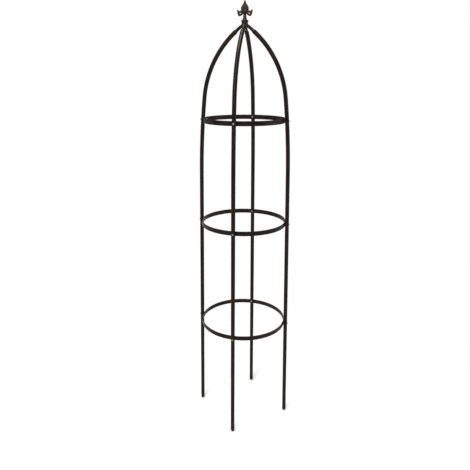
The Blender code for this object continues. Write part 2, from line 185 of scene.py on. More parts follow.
class ObeliskCrownSizes(PropertyGroup):
    """Sizes of the hub and the finial."""

    hub_radius: length("Hub radius", "Radius of the hub's cup", 0.0128)
    hub_rim_radius: length("Hub rim radius", "Radius of the hub's rim", 0.0141)
    hub_rim_height: length("Hub rim height", "Height of the hub's rim", 0.006)
    hub_foot_radius: length("Hub foot radius", "Radius of the flat under the hub", 0.0075)
    hub_body: length("Hub body", "Height of the cup above the cone", 0.025)
    pin_length: length("Pin length", "Length of a pin inside an arch", 0.022)
    pin_root: length("Pin root", "Length of a pin inside the hub", 0.010)
    stem_radius: length("Stem radius", "Radius of the finial's stem", 0.0062)
    flare_radius: length("Flare radius", "Radius of the foot of the finial's stem", 0.0092)
    flare_height: length("Flare height", "Height of the flared foot of the stem", 0.012)
    band_height: length("Band height", "Height of the band's middle above the hub", 0.0322)
    band_radius: length("Band radius", "Radius of the band round the flower", 0.0085)
    leaf_width: length("Leaf width", "Half of the upright leaf's width", 0.0152)
    leaf_height: length("Leaf height", "Height of the upright leaf above the band", 0.0388)
    depth: length("Flower depth", "Half of the flower's thickness", 0.0045)
    stud_radius: length("Stud radius", "Radius of the threaded stud", 0.003)
    stud_end: length("Stud end", "Thread that shows past the crown nut", 0.003)
    washer_radius: length("Washer radius", "Radius of the crown washer", 0.0072)
    washer_thickness: length("Washer thickness", "Thickness of the crown washer", 0.001)
    nut_width: length("Crown nut width", "Width of the crown nut across its flats", 0.010)
    nut_thickness: length("Crown nut thickness", "Thickness of the crown nut", 0.005)
    grain: length("Casting grain", "Size of the smallest detail left on the casting", 0.00038)


class ObeliskColours(PropertyGroup):
    """Colours of the finishes."""

    paint_deep: colour("Deep brown", "Darkest tone of the powder coat", (0.0045, 0.0028, 0.0021))
    paint_warm: colour("Warm brown", "Lightest tone of the powder coat", (0.0180, 0.0105, 0.0078))
    paint_worn: colour("Rubbed brown", "Powder coat where edges are rubbed", (0.085, 0.060, 0.047))
    rust: colour("Rust", "Freckles where the coat is broken", (0.085, 0.030, 0.012))
    # Darkest tone of the casting's mottle, also used as painted shade in its hollows
    cast_deep_and_shade: colour("Casting hollows", "Tone in the finial's hollows", (0.0045, 0.0028, 0.0021))
    cast_warm: colour("Casting face", "Tone of the finial's faces", (0.0340, 0.0200, 0.0150))
    # Paler edge tone of the casting: partly rubbed wear, partly painted highlight
    cast_worn_and_highlight: colour("Casting edge", "Tone of the finial's rubbed edges", (0.105, 0.076, 0.060))
    zinc: colour("Zinc", "Tone of the plated screws and nuts", (0.40, 0.37, 0.34))
    zinc_dull: colour("Dull zinc", "Tone of the plating where it has dulled", (0.19, 0.17, 0.15))
    floor: colour("Floor", "Tone of the floor", (0.90, 0.897, 0.893))


class ObeliskStage(PropertyGroup):
    """Camera and light."""

    camera_distance: length("Camera distance", "Distance of the camera from the axis", 2.0528)
    camera_height: length("Camera height", "Height of the camera above the ground", 1.5381)
    camera_azimuth: turn("Camera azimuth", "Direction of the camera round the axis", -32.26)
    camera_pitch: turn("Camera pitch", "Downward tilt of the camera", 17.99)
    camera_turn: turn("Camera turn", "Turn of the camera to the left of the axis", 1.050)
    lens: FloatProperty(
        name="Lens", description="Focal length", default=37.65, unit="CAMERA", min=1.0
    )
    sky: strength("Sky", "Strength of the even light", 0.25)
    key: strength("Key", "Power of the main light", 90.0)
    fill: strength("Fill", "Power of the side light", 28.0)
    top: strength("Top", "Power of the light overhead", 130.0)


# ---------------------------------------------------------------- leg centreline


def hoop_middle(level):
    """Height of a hoop's middle."""
    low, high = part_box(f"hoop_{level}")
    return (low.z + high.z) / 2


def centreline_stretches():
    """Stretches of a leg's centreline, tip upwards: start, radius, height, angle, bend, length."""
    sizes = bpy.context.scene.obelisk_tubes
    bend_start = (hoop_middle("middle") + hoop_middle("top")) / 2
    dome_start = hoop_middle("top") + sizes.shoulder_rise
    straight = bend_start / math.cos(sizes.lean)
    radius = sizes.spread - straight * math.sin(sizes.lean)
    slow = (math.sin(sizes.shoulder_angle) - math.sin(sizes.lean)) / (dome_start - bend_start)
    slow_length = (sizes.shoulder_angle - sizes.lean) / slow
    dome_radius = radius + (math.cos(sizes.shoulder_angle) - math.cos(sizes.lean)) / slow
    tail_radius = sizes.hub_reach + sizes.dome_tail * math.sin(sizes.dome_angle)
    narrowing = math.cos(sizes.shoulder_angle) - math.cos(sizes.dome_angle)
    dome = narrowing / (dome_radius - tail_radius)
    dome_length = (sizes.dome_angle - sizes.shoulder_angle) / dome
    dome_top = dome_start + (math.sin(sizes.dome_angle) - math.sin(sizes.shoulder_angle)) / dome
    dome_begins = straight + slow_length
    tail_begins = dome_begins + dome_length
    return [
        (0.0, sizes.spread, 0.0, sizes.lean, 0.0, straight),
        (straight, radius, bend_start, sizes.lean, slow, slow_length),
        (dome_begins, dome_radius, dome_start, sizes.shoulder_angle, dome, dome_length),
        (tail_begins, tail_radius, dome_top, sizes.dome_angle, 0.0, sizes.dome_tail),
    ]


def centreline_end():
    """Length of a leg's whole centreline."""
    last = centreline_stretches()[-1]
    return last[0] + last[5]


def centreline(along):
    """Distance from the axis, height and inward angle of a leg at a length along it."""
    stretches = centreline_stretches()
    start, radius, height, angle, bend, _ = [s for s in stretches if s[0] <= max(along, 0)][-1]
    past = along - start
    if bend == 0:
        return radius - past * math.sin(angle), height + past * math.cos(angle), angle
    new_angle = angle + past * bend
    outward = (math.cos(new_angle) - math.cos(angle)) / bend
    up = (math.sin(new_angle) - math.sin(angle)) / bend
    return radius + outward, height + up, new_angle


def length_at(height):
    """Length along a leg at which it reaches a height."""
    start, _, base, angle, bend, _ = [s for s in centreline_stretches() if s[2] <= height][-1]
    if bend == 0:
        return start + (height - base) / math.cos(angle)
    new_angle = math.asin(math.sin(angle) + (height - base) * bend)
    return start + (new_angle - angle) / bend


def station(along, radius, flat=False):
    """Matrix of a circle round a leg's centreline, square to the tube or else flat, which is level."""
    reach, height, angle = centreline(along)
    lean = Matrix() if flat else Matrix.Rotation(-angle, 4, "Y")
    size = Matrix.Diagonal((radius, radius, 1, 1))
    return Matrix.Translation((reach, 0, height)) @ lean @ size


def joint(level):
    """Length along a leg of the joint below a hoop."""
    return length_at(hoop_middle(level) - bpy.context.scene.obelisk_tubes.joint_drop)


# ---------------------------------------------------------------- shaping


def of_kind(geometry, kind):
    """Those items of a bmesh result that are of one kind."""
    return [item for item in geometry if isinstance(item, kind)]


def sweep(bm, stations, sides, closed=False):
    """Skin drawn through stations: a circle extruded from each matrix to the next.
    A closed one ends where it began, others have their ends filled."""
    made = bmesh.ops.create_circle(bm, segments=sides, radius=1, matrix=stations[0])
    ring = made["verts"]
    edges = list({edge for vert in ring for edge in vert.link_edges})
    first = edges
    for here, there in zip(stations, stations[1:]):
        made = bmesh.ops.extrude_edge_only(bm, edges=edges)["geom"]
        ring = set(of_kind(made, bmesh.types.BMVert))
        edges = [e for e in of_kind(made, bmesh.types.BMEdge) if set(e.verts) <= ring]
        bmesh.ops.transform(bm, matrix=there @ here.inverted(), verts=list(ring))
    if not closed:
        bmesh.ops.edgeloop_fill(bm, edges=first)
        bmesh.ops.edgeloop_fill(bm, edges=edges)


def spun(bm, outline, segments):
    """Spins an outline once round Z."""
    bmesh.ops.spin(
        bm,
        geom=outline,
        axis=(0, 0, 1),
        cent=(0, 0, 0),
        angle=math.tau,
        steps=segments,
        use_merge=True,
    )


def turned(bm, profile, segments):
    """Solid spun from a profile of radii and heights that starts and ends on the axis."""
    verts = [bm.verts.new((radius, 0, height)) for radius, height in profile]
    edges = [bm.edges.new(pair) for pair in zip(verts, verts[1:])]
    spun(bm, verts + edges, segments)


def straight_rod(name, radius, length_of_rod, sides):
    """Plain rod or drill along Z, centred."""
    bm = bmesh.new()
    bmesh.ops.create_cone(
        bm,
        cap_ends=True,
        segments=sides,
        radius1=radius,
        radius2=radius,
        depth=length_of_rod,
    )
    return solid(bm, name)


def rounded_bar(bm, inner, outer, bottom, top, rounding, segments):
    """Ring of rectangular bar with rounded edges, about Z."""
    corners = [(outer, 0, bottom), (outer, 0, top), (inner, 0, top), (inner, 0, bottom)]
    face = bm.faces.new([bm.verts.new(corner) for corner in corners])
    bmesh.ops.bevel(
        bm,
        geom=list(face.verts),
        affect="VERTICES",
        offset=rounding,
        segments=4,
        profile=0.5,
        material=-1,
    )
    bmesh.ops.delete(bm, geom=bm.faces[:], context="FACES_ONLY")
    spun(bm, bm.verts[:] + bm.edges[:], segments)


def level_loops(bm, heights):
    """Cuts a loop round the piece at each height, so that wear stays near its edges."""
    for height in heights:
        bmesh.ops.bisect_plane(
            bm,
            geom=bm.verts[:] + bm.edges[:] + bm.faces[:],
            dist=FINE_MERGE,
            plane_co=(0, 0, height),
            plane_no=(0, 0, 1),
        )


def solid(bm, name):
    """Mesh from a bmesh whose shells are closed and face outwards."""
    bmesh.ops.remove_doubles(bm, verts=bm.verts[:], dist=FINE_MERGE)
    bmesh.ops.recalc_face_normals(bm, faces=bm.faces[:])
    mesh = bpy.data.meshes.new(name)
    bm.to_mesh(mesh)
    bm.free()
    return mesh


def shaped(mesh, steps):
    """Mesh after modifiers, each given as a kind and its settings."""
    blank = bpy.data.objects.new("blank", mesh)
    bpy.context.scene.collection.objects.link(blank)
    for kind, settings in steps:
        modifier = blank.modifiers.new(kind.lower(), kind)
        for setting, value in settings.items():
            setattr(modifier, setting, value)
    depsgraph = bpy.context.evaluated_depsgraph_get()
    result = bpy.data.meshes.new_from_object(blank.evaluated_get(depsgraph))
    bpy.data.objects.remove(blank)
    return result


def combined(mesh, tools, operation="DIFFERENCE"):
    """Mesh cut by tools, given as mesh and matrix, or joined to them."""
    helpers = []
    for tool, place in tools:
        helper = bpy.data.objects.new("tool", tool)
        bpy.context.scene.collection.objects.link(helper)
        helper.matrix_world = place
        helpers.append(helper)
    bpy.context.view_layer.update()
    settings = {"operation": operation, "solver": "EXACT"}
    result = shaped(mesh, [("BOOLEAN", {**settings, "object": helper}) for helper in helpers])
    for helper in helpers:
        bpy.data.objects.remove(helper)
    return result


def mark_edges(bm):
    """Stores how sharply the surface turns: above 0 on outside edges and below 0 in hollows."""
    layer = bm.verts.layers.float.new(EDGE_LAYER)
    for vert in bm.verts:
        area = sum(face.calc_area() / len(face.verts) for face in vert.link_faces)
        bend = sum(e.calc_face_angle_signed(0) * e.calc_length() for e in vert.link_edges)
        vert[layer] = bend / (4 * area) if area else 0.0


def add_piece(name, mesh, place, finish, node, tolerance=FIT_TOLERANCE):
    """Finished piece that stands for a CAD node. Its place is in its mesh, and it rides on the root."""
    bm = bmesh.new()
    bm.from_mesh(mesh)
    bmesh.ops.transform(bm, matrix=place, verts=bm.verts[:])
    bmesh.ops.remove_doubles(bm, verts=bm.verts[:], dist=MERGE)
    bmesh.ops.dissolve_degenerate(bm, edges=bm.edges[:], dist=MERGE)
    mark_edges(bm)
    made = bpy.data.meshes.new(name)
    bm.to_mesh(made)
    bm.free()
    made.shade_smooth()
    made.set_sharp_from_angle(angle=SHARP_ANGLE)
    made.materials.clear()
    made.materials.append(finish)
    piece = bpy.data.objects.new(name, made)
    bpy.context.scene.collection.objects.link(piece)
    check_fit(piece, node, tolerance)
    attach(piece, "root")
    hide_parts(node)


def check_fit(piece, node, tolerance):
    """Stops if a piece isn't where its node is, or isn't its size."""
    low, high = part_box(node)
    corners = [Vector(corner) for corner in piece.bound_box]
    for axis in range(3):
        values = [corner[axis] for corner in corners]
        off = max(abs(min(values) - low[axis]), abs(max(values) - high[axis]))
        if off > tolerance:
            raise ValueError(f"{piece.name} is {off:.4f} m off its node along axis {axis}")


def outwards(azimuth, distance, height):
    """Matrix that puts a fixing out from the axis with its Z axis pointing outwards."""
    place = Matrix.Rotation(azimuth, 4, "Z") @ Matrix.Translation((distance, 0, height))
    return place @ Matrix.Rotation(QUARTER_TURN, 4, "Y")


def smooth_step(value):
    """Eases a value from 0 to 1."""
    return value * value * (3 - 2 * value)


# ---------------------------------------------------------------- finishes


def add_node(tree, kind, **settings):
    """Node of a kind with its settings."""
    made = tree.nodes.new(kind)
    for setting, value in settings.items():
        setattr(made, setting, value)
    return made


def noise(tree, coordinates, scale, detail=3.0, roughness=0.55):
    """Noise value at a number of grains per metre."""
    made = add_node(tree, "ShaderNodeTexNoise")
    made.inputs["Scale"].default_value = scale
    made.inputs["Detail"].default_value = detail
    made.inputs["Roughness"].default_value = roughness
    tree.links.new(coordinates, made.inputs["Vector"])
    return made.outputs["Fac"]


def cells(tree, coordinates, scale):
    """Distance to the nearest of many scattered points."""
    made = add_node(tree, "ShaderNodeTexVoronoi")
    made.inputs["Scale"].default_value = scale
    tree.links.new(coordinates, made.inputs["Vector"])
    return made.outputs["Distance"]


def ranged(tree, value, low, high, to_low=0.0, to_high=1.0):
    """Value moved from one range to another, and kept inside it."""
    made = add_node(tree, "ShaderNodeMapRange")
    made.inputs["From Min"].default_value = low
    made.inputs["From Max"].default_value = high
    made.inputs["To Min"].default_value = to_low
    made.inputs["To Max"].default_value = to_high
    tree.links.new(value, made.inputs["Value"])
    return made.outputs["Result"]


def worked(tree, operation, first, second):
    """Two values worked together; the second may be a plain number."""
    made = add_node(tree, "ShaderNodeMath", operation=operation, use_clamp=True)
    tree.links.new(first, made.inputs[0])
    if isinstance(second, (int, float)):
        made.inputs[1].default_value = second
    else:
        tree.links.new(second, made.inputs[1])
    return made.outputs[0]


def blended(tree, factor, first, second):
    """Colour between two; either may be a plain colour."""
    made = add_node(tree, "ShaderNodeMix", data_type="RGBA")
    tree.links.new(factor, made.inputs[0])
    for socket, source in ((made.inputs[6], first), (made.inputs[7], second)):
        if isinstance(source, bpy.types.NodeSocket):
            tree.links.new(source, socket)
        else:
            socket.default_value = (*source, 1)
    return made.outputs[2]


def start_finish(name):
    """New material: its tree, shader and object coordinates."""
    made = bpy.data.materials.new(name)
    made.use_nodes = True
    tree = made.node_tree
    shader = tree.nodes["Principled BSDF"]
    coordinates = add_node(tree, "ShaderNodeTexCoord").outputs["Object"]
    return made, tree, shader, coordinates


def edge_turn(tree):
    """How sharply the mesh turns, as mark_edges stored it."""
    return add_node(tree, "ShaderNodeAttribute", attribute_name=EDGE_LAYER).outputs["Fac"]


def painted_gloss(shader, ior):
    """Sets the faint brown gloss of the paint."""
    shader.inputs["IOR"].default_value = ior
    shader.inputs["Specular Tint"].default_value = (1.0, 0.80, 0.68, 1.0)


def dented(tree, shader, layers):
    """Bumps the surface by height layers, each a value and its depth in metres."""
    normal = None
    for height, depth in layers:
        bump = add_node(tree, "ShaderNodeBump")
        bump.inputs["Distance"].default_value = depth
        tree.links.new(height, bump.inputs["Height"])
        if normal:
            tree.links.new(normal, bump.inputs["Normal"])
        normal = bump.outputs["Normal"]
    tree.links.new(normal, shader.inputs["Normal"])


def powder_coat(name, tone_and_highlight):
    """Dark brown powder coat: mottled, with a fine orange peel, rubbed edges and a few freckles."""
    colours = bpy.context.scene.obelisk_colours
    made, tree, shader, coordinates = start_finish(name)
    edge = edge_turn(tree)
    mottle = ranged(tree, noise(tree, coordinates, 26, 5), 0.30, 0.72)
    grain = ranged(tree, noise(tree, coordinates, 900, 2), 0.35, 0.65)
    tone = worked(tree, "MULTIPLY", mottle, ranged(tree, grain, 0, 1, 0.55, 1.0))
    # The tone is scaled by this value; the hoops' higher value paints their copy of the coat lighter,
    # as painted highlight
    tone = worked(tree, "MULTIPLY", tone, 2 * tone_and_highlight)
    base = blended(tree, tone, colours.paint_deep, colours.paint_warm)
    freckle = ranged(tree, cells(tree, coordinates, 230), 0.16, 0.05)
    broken = ranged(tree, noise(tree, coordinates, 40, 4), 0.60, 0.72)
    freckle = worked(tree, "MULTIPLY", freckle, broken)
    base = blended(tree, freckle, base, colours.rust)
    rubbed = ranged(tree, edge, 160, 900)
    patches = ranged(tree, noise(tree, coordinates, 300, 4), 0.38, 0.62, 0.15, 0.85)
    rubbed = worked(tree, "MULTIPLY", rubbed, patches)
    base = blended(tree, rubbed, base, colours.paint_worn)
    tree.links.new(base, shader.inputs["Base Color"])
    gloss = ranged(tree, noise(tree, coordinates, 60, 4), 0.3, 0.7, 0.34, 0.50)
    gloss = worked(tree, "ADD", gloss, worked(tree, "MULTIPLY", freckle, 0.3))
    tree.links.new(gloss, shader.inputs["Roughness"])
    painted_gloss(shader, 1.22)
    peel = noise(tree, coordinates, 620, 2, 0.4)
    waves = noise(tree, coordinates, 90, 2, 0.4)
    dented(tree, shader, [(waves, 0.00014), (peel, 0.00007), (freckle, 0.0001)])
    return made


def cast_finish(name):
    """Painted casting: sandy skin, painted shade that darkens its hollows, and edges rubbed to a paler
    brown that is partly painted highlight.
    """
    colours = bpy.context.scene.obelisk_colours
    made, tree, shader, coordinates = start_finish(name)
    edge = edge_turn(tree)
    mottle = ranged(tree, noise(tree, coordinates, 140, 5), 0.32, 0.70)
    base = blended(tree, mottle, colours.cast_deep_and_shade, colours.cast_warm)
    # Painted shade: the casting's hollows are darkened towards its darkest tone
    painted_shade = ranged(tree, edge, -40, -420)
    base = blended(tree, worked(tree, "MULTIPLY", painted_shade, 0.85), base, colours.cast_deep_and_shade)
    # Paler brown on the casting's outside edges: partly rubbed wear, partly painted highlight
    rubbed = ranged(tree, edge, 190, 620)
    patches = ranged(tree, noise(tree, coordinates, 420, 4), 0.36, 0.60, 0.1, 0.9)
    rubbed = worked(tree, "MULTIPLY", rubbed, patches)
    base = blended(tree, rubbed, base, colours.cast_worn_and_highlight)
    tree.links.new(base, shader.inputs["Base Color"])
    gloss = ranged(tree, noise(tree, coordinates, 200, 4), 0.3, 0.7, 0.42, 0.62)
    gloss = worked(tree, "SUBTRACT", gloss, worked(tree, "MULTIPLY", rubbed, 0.14))
    tree.links.new(gloss, shader.inputs["Roughness"])
    painted_gloss(shader, 1.28)
    sand = noise(tree, coordinates, 1100, 3, 0.6)
    lumps = noise(tree, coordinates, 260, 3, 0.5)
    dented(tree, shader, [(lumps, 0.0005), (sand, 0.00022)])
    return made


def zinc_plate(name):
    """Dull zinc plate: cloudy, with bright rubbed edges and painted shade that darkens its seats."""
    colours = bpy.context.scene.obelisk_colours
    made, tree, shader, coordinates = start_finish(name)
    edge = edge_turn(tree)
    cloud = ranged(tree, noise(tree, coordinates, 700, 4), 0.3, 0.7)
    base = blended(tree, cloud, colours.zinc_dull, colours.zinc)
    # Painted shade: the plating's seats and other hollows are darkened towards a dark brown
    painted_shade = ranged(tree, edge, -80, -900)
    base = blended(tree, worked(tree, "MULTIPLY", painted_shade, 0.8), base, colours.paint_worn)
    tree.links.new(base, shader.inputs["Base Color"])
    shader.inputs["Metallic"].default_value = 1.0
    gloss = ranged(tree, noise(tree, coordinates, 900, 3), 0.3, 0.7, 0.36, 0.54)
    gloss = worked(tree, "SUBTRACT", gloss, ranged(tree, edge, 400, 2500, 0.0, 0.08))
    tree.links.new(gloss, shader.inputs["Roughness"])
    dented(tree, shader, [(noise(tree, coordinates, 1800, 2), 0.00006)])
    return made


def floor_finish(name):
    """Pale matt floor with a faint tooth, which clears to white far from the middle."""
    colours = bpy.context.scene.obelisk_colours
    made, tree, shader, coordinates = start_finish(name)
    pale = tuple(min(1.0, 1.02 * value) for value in colours.floor)
    cloud = ranged(tree, noise(tree, coordinates, 3, 3), 0.3, 0.7)
    tree.links.new(blended(tree, cloud, colours.floor, pale), shader.inputs["Base Color"])
    gloss = ranged(tree, noise(tree, coordinates, 40, 3), 0.3, 0.7, 0.75, 0.85)
    tree.links.new(gloss, shader.inputs["Roughness"])
    shader.inputs["Specular IOR Level"].default_value = 0.2
    dented(tree, shader, [(noise(tree, coordinates, 300, 2), 0.0002)])
    distance = add_node(tree, "ShaderNodeVectorMath", operation="LENGTH")
    tree.links.new(coordinates, distance.inputs[0])
    mix = add_node(tree, "ShaderNodeMixShader")
    cleared = ranged(tree, distance.outputs["Value"], CLEARING_STARTS, CLEARING_ENDS)
    tree.links.new(cleared, mix.inputs[0])
    tree.links.new(shader.outputs[0], mix.inputs[1])
    tree.links.new(add_node(tree, "ShaderNodeEmission").outputs[0], mix.inputs[2])
    tree.links.new(mix.outputs[0], tree.nodes["Material Output"].inputs["Surface"])
    return made


# ---------------------------------------------------------------- legs


def narrowed(start, end, radius, end_radius, steps=5):
    """Lengths and radii of an eased taper, without its first point."""
    return [
        (
            start + (end - start) * step / steps,
            radius + (end_radius - radius) * smooth_step(step / steps),
        )
        for step in range(1, steps + 1)
    ]


def socket_end(along):
    """Rounded lower rim of a tube, from the inside out."""
    sizes = bpy.context.scene.obelisk_tubes
    lip = sizes.wall * 0.35
    return [(along, sizes.radius - lip), (along + lip * 0.3, sizes.radius - lip * 0.3)] + [
        (along + lip, sizes.radius),
        (along + 6 * lip, sizes.radius),
    ]


def bend_lengths(low, high, bent_facet=0.007, straight_facet=0.060):
    """Lengths from low to high, close together where the centreline bends."""
    stretches = centreline_stretches()
    breaks = [low] + [s[0] for s in stretches if low < s[0] < high] + [high]
    lengths = [low]
    for begin, end in zip(breaks, breaks[1:]):
        bent = [s for s in stretches if s[0] <= begin][-1][4]
        steps = math.ceil((end - begin) / (bent_facet if bent else straight_facet))
        lengths += [begin + (end - begin) * step / steps for step in range(1, steps + 1)]
    return lengths


def tube_skin(name, outer, floor=None):
    """Hollow tube from its outside, with its wall inside it; a floor closes it above its tip."""
    sizes = bpy.context.scene.obelisk_tubes
    inner = [(along, radius - sizes.wall) for along, radius in reversed(outer)]
    if floor is not None:
        inner = [spot for spot in inner if spot[0] > floor] + [(floor, sizes.radius - sizes.wall)]
    walls = [station(along, radius) for along, radius in outer + inner]
    bm = bmesh.new()
    if floor is None:
        sweep(bm, walls + walls[:1], sizes.sides, closed=True)
    else:
        walls[0] = station(outer[0][0], outer[0][1], flat=True)
        sweep(bm, walls, sizes.sides)
    return solid(bm, name)


def plug_end(along):
    """Narrowed upper end of a tube, with a rounded rim."""
    sizes = bpy.context.scene.obelisk_tubes
    shoulder = along - CLEARANCE
    plug = sizes.radius - sizes.wall - CLEARANCE
    rim = sizes.wall * 0.3
    top = along + sizes.plug_length
    tapered = narrowed(shoulder - sizes.plug_taper, shoulder, sizes.radius, plug)
    start = [(shoulder - 2 * sizes.plug_taper, sizes.radius)]
    start += [(shoulder - sizes.plug_taper, sizes.radius)]
    return start + tapered + [(top - rim, plug), (top, plug - rim)]


def leg_skin():
    """Lowest tube, with a rounded closed tip."""
    sizes = bpy.context.scene.obelisk_tubes
    steps = 8
    drop = sizes.radius - sizes.nose_radius
    nose = []
    for step in range(steps + 1):
        swing = QUARTER_TURN * step / steps
        rise = sizes.nose_length * (1 - math.cos(swing))
        nose.append((rise, sizes.nose_radius + drop * math.sin(swing)))
    plug = plug_end(joint("bottom"))
    above_nose = sizes.nose_length + 0.006
    outer = nose + [(a, sizes.radius) for a in bend_lengths(above_nose, plug[0][0])[:-1]] + plug
    return tube_skin("leg", outer, floor=sizes.nose_length + 0.002)


def run_skin(name, lower, upper):
    """Tube between two hoops."""
    sizes = bpy.context.scene.obelisk_tubes
    socket = socket_end(joint(lower))
    plug = plug_end(joint(upper))
    middle = bend_lengths(socket[-1][0], plug[0][0])[1:-1]
    return tube_skin(name, socket + [(along, sizes.radius) for along in middle] + plug)


def arch_skin():
    """Top tube, bent in to the hub and narrowed at its end."""
    sizes = bpy.context.scene.obelisk_tubes
    end = centreline_end()
    neck = end - sizes.neck_length
    socket = socket_end(joint("top"))
    middle = bend_lengths(socket[-1][0], neck - sizes.neck_taper)[1:]
    outer = socket + [(along, sizes.radius) for along in middle]
    outer += narrowed(neck - sizes.neck_taper, neck, sizes.radius, sizes.neck_radius, 8)
    rim = sizes.wall * 0.3
    outer += [(end - rim, sizes.neck_radius), (end, sizes.neck_radius - rim)]
    return tube_skin("arch", outer)


class OBELISK_OT_build_legs(Operator):
    """Four legs, each of four tubes that plug together"""

    bl_idname = "obelisk.build_legs"
    bl_label = "Build legs"

    def execute(self, context):
        finish = powder_coat("tube_powder_coat", 0.55)
        skins = {
            "leg": (leg_skin(), ["bottom"]),
            "lower_tube": (run_skin("lower_tube", "bottom", "middle"), ["bottom", "middle"]),
            "upper_tube": (run_skin("upper_tube", "middle", "top"), ["middle", "top"]),
            "arch": (arch_skin(), ["top"]),
        }
        for kind, (skin, levels) in skins.items():
            drilled = combined(skin, [hoop_drill(level) for level in levels])
            for corner, azimuth in CORNERS.items():
                place = Matrix.Rotation(azimuth, 4, "Z")
                node = f"{kind}_{corner}"
                add_piece(f"{node}_painted", drilled, place, finish, node)
        return {"FINISHED"}


# ---------------------------------------------------------------- hoops


def hoop_outer(level):
    """Outside radius of a hoop."""
    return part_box(f"hoop_{level}")[1].x


def screw_seat(level):
    """Distance from the axis to the underside of a hoop screw's head."""
    tubes = bpy.context.scene.obelisk_tubes
    hoops = bpy.context.scene.obelisk_hoops
    radius, _, angle = centreline(length_at(hoop_middle(level)))
    return radius + tubes.radius / math.cos(angle) + hoops.head_radius * math.tan(angle) + CLEARANCE


def hoop_drill(level):
    """Drill for a hoop screw through a leg on +X, as mesh and matrix."""
    hoops = bpy.context.scene.obelisk_hoops
    depth = 0.060
    inset = 0.012
    drill = straight_rod("drill", hoops.screw_radius + CLEARANCE, depth, 24)
    return drill, outwards(0, screw_seat(level) - inset, hoop_middle(level))


class OBELISK_OT_build_hoops(Operator):
    """Three hoops of flat bar on edge, drilled at the legs"""

    bl_idname = "obelisk.build_hoops"
    bl_label = "Build hoops"

    def execute(self, context):
        sizes = context.scene.obelisk_hoops
        # The hoops' copy of the coat is a lighter tone than the tubes': painted highlight
        finish = powder_coat("hoop_powder_coat_painted_lighter", 0.62)
        for level in LEVELS:
            outer = hoop_outer(level)
            middle = hoop_middle(level)
            half = sizes.height / 2
            bm = bmesh.new()
            rounded_bar(
                bm,
                outer - sizes.thickness,
                outer,
                middle - half,
                middle + half,
                sizes.rounding,
                sizes.segments,
            )
            inset = half - 2.5 * sizes.rounding
            level_loops(bm, [middle - inset, middle - half * 0.4, middle, middle + inset])
            drill, place = hoop_drill(level)
            drills = [(drill, Matrix.Rotation(a, 4, "Z") @ place) for a in CORNERS.values()]
            drilled = combined(solid(bm, f"hoop_{level}"), drills)
            node = f"hoop_{level}"
            add_piece(f"{node}_painted", drilled, Matrix(), finish, node)
        return {"FINISHED"}


# ---------------------------------------------------------------- hoop screws and nuts


def threaded(radius, bottom, top, pitch):
    """Profile of a threaded shank, from its chamfered end up, without its point on the axis."""
    root = radius * THREAD_ROOT
    turns = max(1, round((top - bottom) / pitch))
    step = (top - bottom) / turns
    profile = [(root, bottom)]
    for turn_number in range(turns):
        low = bottom + turn_number * step
        profile += [(radius, low + step * 0.45), (radius, low + step * 0.60), (root, low + step)]
    return profile


def screw_blank(name, shank):
    """Pan-head screw along Z, with the underside of its head at the origin."""
    sizes = bpy.context.scene.obelisk_hoops
    thread_top = -shank + sizes.nut_thickness + sizes.screw_end + 0.001
    profile = [(0, -shank)] + threaded(sizes.screw_radius, -shank, thread_top, 0.0007)
    profile += [(sizes.screw_radius, thread_top + 0.0002), (sizes.screw_radius, -0.0002)]
    radius = sizes.head_radius
    height = sizes.head_height
    profile += [(radius * 0.62, 0), (radius * 0.95, 0), (radius, height * 0.08)]
    profile += [(radius, height * 0.30)]
    steps = 9
    for step in range(1, steps):
        swing = QUARTER_TURN * step / steps
        profile.append((radius * math.cos(swing), height * (0.30 + 0.70 * math.sin(swing))))
    profile.append((0, height))
    bm = bmesh.new()
    turned(bm, profile, 32)
    return solid(bm, name)


def cross_bit():
    """Cross-shaped bit that cuts a screw's recess, with its point at the origin and Z up."""
    sizes = bpy.context.scene.obelisk_hoops
    bits = []
    for swing in (0, QUARTER_TURN):
        bm = bmesh.new()
        bmesh.ops.create_cube(bm, size=1)
        lower = [vert for vert in bm.verts if vert.co.z < 0]
        bmesh.ops.scale(bm, vec=(0.45, 0.6, 1), verts=lower)
        wide = sizes.head_radius * 1.15
        bmesh.ops.scale(bm, vec=(wide, wide * 0.22, sizes.head_height), verts=bm.verts[:])
        place = Matrix.Rotation(swing, 4, "Z")
        lift = Matrix.Translation((0, 0, sizes.head_height * 1.02))
        bits.append((solid(bm, "bit"), lift @ place))
    return bits


def nut_blank(name, width, thickness, hole):
    """Six-sided nut along Z, centred, with its corners chamfered at both faces."""
    corner = width / 2 / math.cos(math.radians(30))
    hexagon = straight_rod(name, corner, thickness, 6)
    half = thickness / 2
    face = width / 2 * 0.97
    drop = (corner - face) * math.tan(math.radians(30))
    bm = bmesh.new()
    profile = [(0, -half), (face, -half), (corner, drop - half), (corner, half - drop)]
    turned(bm, profile + [(face, half), (0, half)], 48)
    chamfer = solid(bm, "chamfer")
    bm = bmesh.new()
    flare = thickness * 0.12
    past = half + 0.0001
    profile = [(0, -past), (hole + flare, -past), (hole, flare - half)]
    profile += [(hole, half - flare), (hole + flare, past), (0, past)]
    turned(bm, profile, 24)
    bore = solid(bm, "bore")
    shaped_blank = combined(hexagon, [(chamfer, Matrix())], "INTERSECT")
    return combined(shaped_blank, [(bore, Matrix())])


